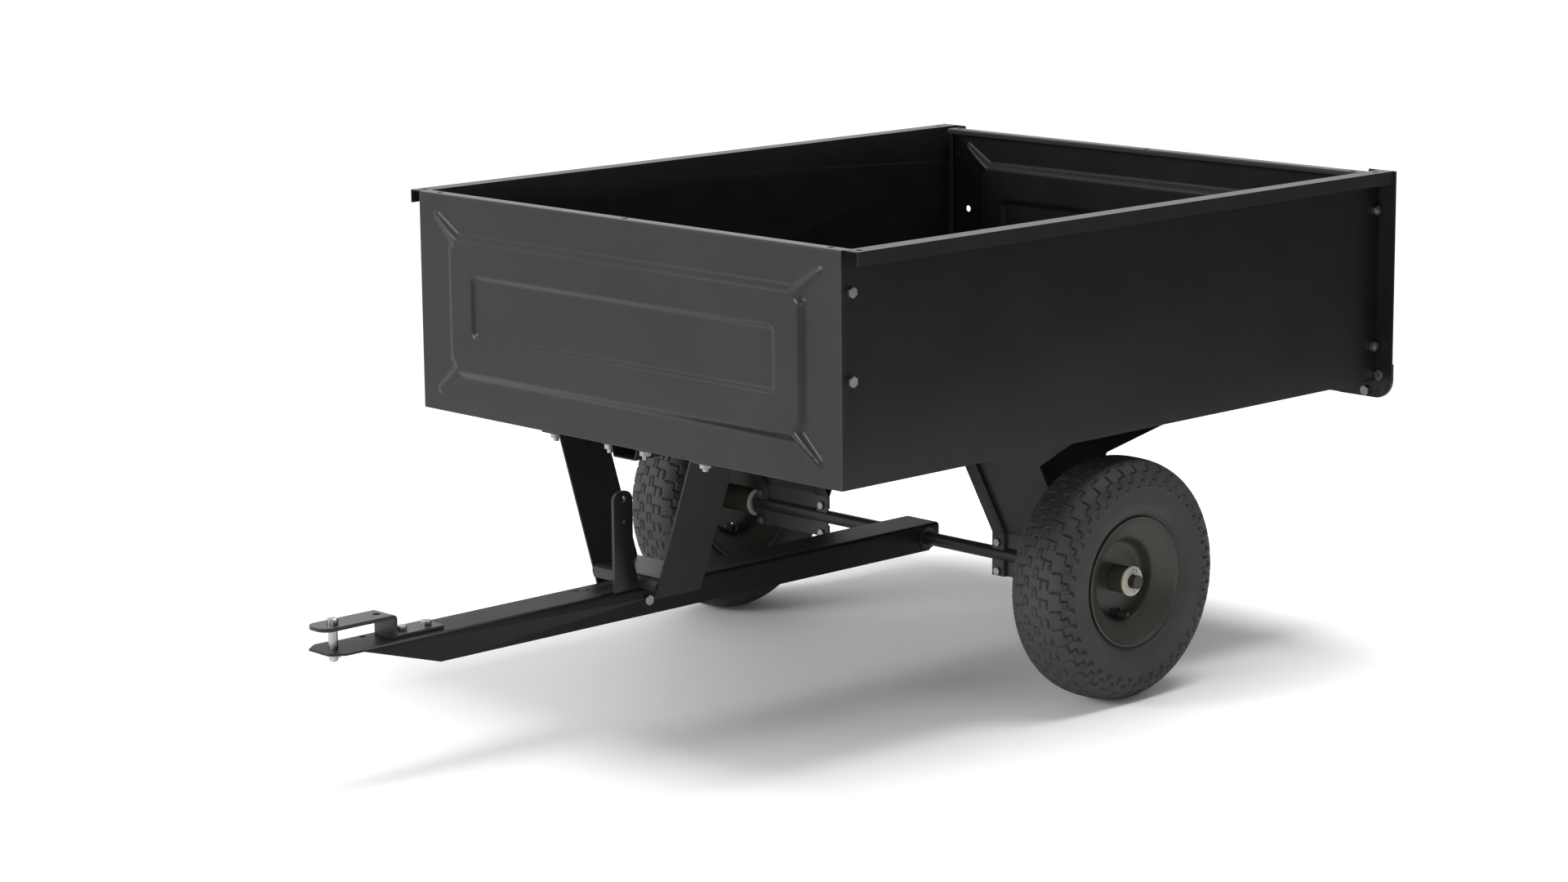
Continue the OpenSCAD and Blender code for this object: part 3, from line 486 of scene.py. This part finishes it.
def tread_depth(u, v, pitch):
    """Groove depth, 0 to 1, at u mm from the centre and v mm around.

    The two sides mirror each other with half a pitch of stagger."""
    v = np.where(u < 0, v + pitch / 2, v) % pitch
    u = np.abs(u)
    depth = np.zeros(np.broadcast(u, v).shape)
    for grooves, half in zip((CENTRE_GROOVES, MIDDLE_GROOVES, SHOULDER_GROOVES), GROOVE_HALF_WIDTHS):
        for u0, v0, u1, v1 in grooves:
            for shift in (-pitch, 0.0, pitch):
                depth = np.maximum(depth, stroke(u, v + shift, u0, v0, u1, v1, half))
    return depth


def super_power(value, n):
    return np.sign(value) * np.abs(value) ** (2.0 / n)


def wheel_pieces(side, sign):
    low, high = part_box(f"{side}_tyre")
    centre = (low + high) / 2
    outer_r = (high.z - low.z) / 2 / MM
    half_w = (high.x - low.x) / 2 / MM
    rim_low, rim_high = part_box(f"{side}_rim_outer")
    bead_r = (rim_high.z - rim_low.z) / 2 / MM - 0.5
    middle = (outer_r + bead_r) / 2
    rise = outer_r - middle
    turn = np.radians(np.linspace(-48.0, 228.0, 230))
    sharp = np.where(np.sin(turn) < 0, 4.0, 2.8)
    radius = middle + rise * super_power(np.sin(turn), sharp)
    across = half_w * super_power(np.cos(turn), sharp)
    # Each bead turns in under the rim's rolled edge.
    radius = np.concatenate([bead_r + np.array(BEAD_RADII), radius, bead_r + np.array(BEAD_RADII)[::-1]])
    across = np.concatenate([BEAD_ACROSS, across, -np.array(BEAD_ACROSS)[::-1]])
    # Even steps along the section.
    steps = np.concatenate([[0.0], np.cumsum(np.hypot(np.diff(radius), np.diff(across)))])
    even = np.linspace(0.0, steps[-1], 170)
    radius, across = np.interp(even, steps, radius), np.interp(even, steps, across)
    u = even - even[-1] / 2
    pitch = 2 * math.pi * outer_r / PITCHES
    columns = PITCHES * PER_PITCH
    angle = 2 * math.pi * np.arange(columns) / columns
    v = (angle[None, :] * outer_r) % pitch
    depth = tread_depth(u[:, None], v, pitch)
    # The tread stands proud of the sidewall, and fades into it past the last row of blocks.
    fade = np.clip((TREAD_EDGE - np.abs(u)) / 3.0, 0.0, 1.0)[:, None]
    # Shoulder blocks stand in steps: every other half pitch is a little lower.
    step = np.where(((v / pitch + np.where(u > 0, 0.0, 0.5)[:, None]) % 1.0) < 0.5, 0.0, 1.0)
    shoulder = np.clip((np.abs(u) - STEP_START) / 2.0, 0.0, 1.0)[:, None]
    sink = GROOVE * depth * fade + SIDEWALL_DROP * (1.0 - smooth_step(fade))
    sink = sink + BLOCK_STEP * step * shoulder * fade
    normal_r, normal_x = -np.gradient(across), np.gradient(radius)
    length = np.hypot(normal_r, normal_x)
    normal_r, normal_x = normal_r / length, normal_x / length
    flip = math.copysign(1.0, normal_r[len(normal_r) // 2])
    r = radius[:, None] - sink * normal_r[:, None] * flip
    x = np.broadcast_to(across[:, None], sink.shape) - sink * normal_x[:, None] * flip
    y, z = centre.y + r * MM * np.cos(angle), centre.z + r * MM * np.sin(angle)
    verts = np.stack([centre.x + x * MM * sign, y, z], -1)
    faces = grid_faces(len(u), columns, wrap_cols=True)
    obj = mesh_object(f"{side}_tyre_tread", verts.reshape(-1, 3), faces, TYRE, 70)
    fit_piece(obj, f"{side}_wheel", "tyre_rubber", f"{side}_tyre")


# One pressed rim half: radius and distance from the wheel's middle, from the rolled edge to the hub.
RIM_PROFILE = [(85.2, 34.0), (88.8, 37.4), (90.2, 39.4), (89.6, 41.0), (87.2, 41.2), (84.8, 38.8),
               (80.0, 35.2), (71.0, 29.8), (63.0, 25.4), (59.0, 22.8), (56.4, 19.8), (54.8, 14.0),
               (53.2, 8.6), (50.6, 4.6), (46.0, 2.6), (36.0, 2.2), (19.0, 2.2)]
RIM_SHEET = 2.0
RIM_SIDES = 144
VALVE_R = 48.0
VALVE_SLOT_HALF = 5.5 * MM
VALVE_SLOT_STRETCH = 14 * MM


def rounded_path(points, per_span=5):
    """Points along a smooth curve through the given ones."""
    p = np.array([points[0], *points, points[-1]])
    t = np.linspace(0.0, 1.0, per_span, endpoint=False)[:, None]
    spans = []
    for a, b, c, d in zip(p, p[1:], p[2:], p[3:]):
        square, cube = (2 * a - 5 * b + 4 * c - d) * t ** 2, (3 * b - a - 3 * c + d) * t ** 3
        spans.append(0.5 * (2 * b + (c - a) * t + square + cube))
    return np.concatenate(spans + [p[-1:]])


def rim_piece(side, half, out_way):
    low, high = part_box(f"{side}_tyre")
    centre = (low + high) / 2
    front = rounded_path(RIM_PROFILE)
    slope = np.gradient(front, axis=0)
    square_on = np.stack([slope[:, 1], -slope[:, 0]], -1)
    back = front + RIM_SHEET * square_on / np.linalg.norm(slope, axis=1)[:, None]
    if back[-1, 1] > front[-1, 1]:
        back = 2 * front - back
    loop = np.concatenate([front, back[::-1]])
    angle = 2 * math.pi * np.arange(RIM_SIDES) / RIM_SIDES
    r, x = loop[:, :1] * MM, np.broadcast_to(loop[:, 1:] * MM, (len(loop), RIM_SIDES))
    y, z = centre.y + r * np.cos(angle), centre.z + r * np.sin(angle)
    verts = np.stack([centre.x + out_way * x, y, z], -1)
    faces = grid_faces(len(loop), RIM_SIDES, wrap_rows=True, wrap_cols=True)
    obj = mesh_object(f"{side}_rim_{half}_pressing", verts.reshape(-1, 3), faces, RIM, 50)
    valve = (centre.x, centre.y, centre.z - VALVE_R * MM)
    cut_hole(obj, valve, (1, 0, 0), VALVE_SLOT_HALF, 0.06, VALVE_SLOT_STRETCH)
    fit_piece(obj, f"{side}_wheel", "rim_paint", f"{side}_rim_{half}")


for side, sign in (("left", -1), ("right", 1)):
    wheel_pieces(side, sign)
    rim_piece(side, "outer", sign)
    rim_piece(side, "inner", -sign)

# ------------------------------------------------------------------ latch spring: a real coil
def coil_spring():
    low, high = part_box("latch_spring")
    start = Vector((low.x + 2 * MM, low.y + 2 * MM, high.z - 1.5 * MM))
    end = Vector((high.x - 2 * MM, high.y - 2 * MM, low.z + 1.5 * MM))
    along = (end - start).normalized()
    side = along.orthogonal().normalized()
    up = along.cross(side)
    hook, coil_r, wire_r, turns = 9 * MM, 3.3 * MM, 0.75 * MM, 16
    length = (end - start).length
    points = [start, start + along * hook * 0.7]
    for i in range(turns * 14 + 1):
        share = i / (turns * 14)
        theta = 2 * math.pi * turns * share
        place = start + along * (hook + (length - 2 * hook) * share)
        points.append(place + side * coil_r * math.cos(theta) + up * coil_r * math.sin(theta))
    points += [end - along * hook * 0.7, end]
    curve = bpy.data.curves.new("latch_coil", "CURVE")
    curve.dimensions = "3D"
    curve.bevel_depth = wire_r
    curve.bevel_resolution = 4
    spline = curve.splines.new("POLY")
    spline.points.add(len(points) - 1)
    for target, point in zip(spline.points, points):
        target.co = (*point, 1.0)
    obj = bpy.data.objects.new("latch_coil", curve)
    bpy.context.scene.collection.objects.link(obj)
    curve.materials.append(WIRE)
    bpy.context.view_layer.update()
    mesh = bpy.data.meshes.new_from_object(obj.evaluated_get(bpy.context.evaluated_depsgraph_get()))
    bpy.data.objects.remove(obj)
    wire = bpy.data.objects.new("latch_coil", mesh)
    bpy.context.scene.collection.objects.link(wire)
    for polygon in mesh.polygons:
        polygon.use_smooth = True
    return wire


fit_piece(coil_spring(), "drawbar", "spring_steel", "latch_spring")

# ------------------------------------------------------------------ floor, lights and camera
def stage_floor():
    mat, tree, bsdf = new_material("studio_floor")
    tone = noise(tree, coords(tree), 2.0, 2.0)
    tree.links.new(ramp(tree, tone, [(0.0, 0.86), (1.0, 0.9)]), bsdf.inputs["Base Color"])
    tree.links.new(remap(tree, tone, 0.6, 0.7), bsdf.inputs["Roughness"])
    turns = np.linspace(0, 2 * math.pi, 129)[:-1]
    rim = [(FLOOR_R * math.cos(a), FLOOR_R * math.sin(a), 0.0) for a in turns]
    mesh_object("floor", rim, [tuple(range(len(rim)))], mat)


def area_light(name, place, target, size, power):
    light = bpy.data.lights.new(name, "AREA")
    light.shape = "RECTANGLE"
    light.size, light.size_y = size
    light.energy = power
    obj = bpy.data.objects.new(name, light)
    bpy.context.scene.collection.objects.link(obj)
    obj.location = place
    obj.rotation_euler = (Vector(target) - Vector(place)).to_track_quat("-Z", "Y").to_euler()


FLOOR_R = 2.1
WALL_WAY = (-0.9, -0.2, 0.0)
ROOM_DIM = 0.25
ROOM_BRIGHT = 1.15


def studio():
    stage_floor()
    area_light("key", (0.2, 0.9, 3.6), (0.1, 0.1, 0.3), (2.2, 2.2), 175.0)
    area_light("front", (-3.0, -7.4, 3.2), (0.0, 0.0, 0.4), (2.6, 2.0), 380.0)
    area_light("fill", (3.2, -4.8, 1.3), (0.2, -0.5, 0.5), (2.4, 1.4), 80.0)
    world = bpy.data.worlds.new("studio")
    bpy.context.scene.world = world
    world.use_nodes = True
    tree = world.node_tree
    # A broad white wall on the left, falling off to a dim room on the right.
    facing = tree.nodes.new("ShaderNodeVectorMath")
    facing.operation = "DOT_PRODUCT"
    facing.inputs[1].default_value = WALL_WAY
    tree.links.new(tree.nodes.new("ShaderNodeTexCoord").outputs["Generated"], facing.inputs[0])
    level = remap(tree, facing.outputs["Value"], ROOM_DIM, ROOM_BRIGHT, -0.1, 0.35)
    tree.links.new(level, tree.nodes["Background"].inputs["Strength"])
    tree.nodes["Background"].inputs["Color"].default_value = (1.0, 1.0, 1.0, 1.0)
    bpy.context.scene.view_settings.view_transform = "Standard"


def camera():
    azimuth, elevation, roll = (math.radians(a) for a in (46.473, 11.191, -0.549))
    forward = Vector((-math.sin(azimuth) * math.cos(elevation), math.cos(azimuth) * math.cos(elevation),
                      -math.sin(elevation)))
    level = Vector((math.cos(azimuth), math.sin(azimuth), 0.0))
    upright = level.cross(forward)
    right = level * math.cos(roll) + upright * math.sin(roll)
    up = upright * math.cos(roll) - level * math.sin(roll)
    data = bpy.data.cameras.new("view")
    data.lens = 88.85
    data.sensor_width = 36.0
    data.clip_end = 100.0
    obj = bpy.data.objects.new("view", data)
    bpy.context.scene.collection.objects.link(obj)
    turn = Matrix((right, up, -forward)).transposed().to_4x4()
    obj.matrix_world = Matrix.Translation((3.80678, -3.60565, 1.37799)) @ turn
    bpy.context.scene.camera = obj


studio()
camera()
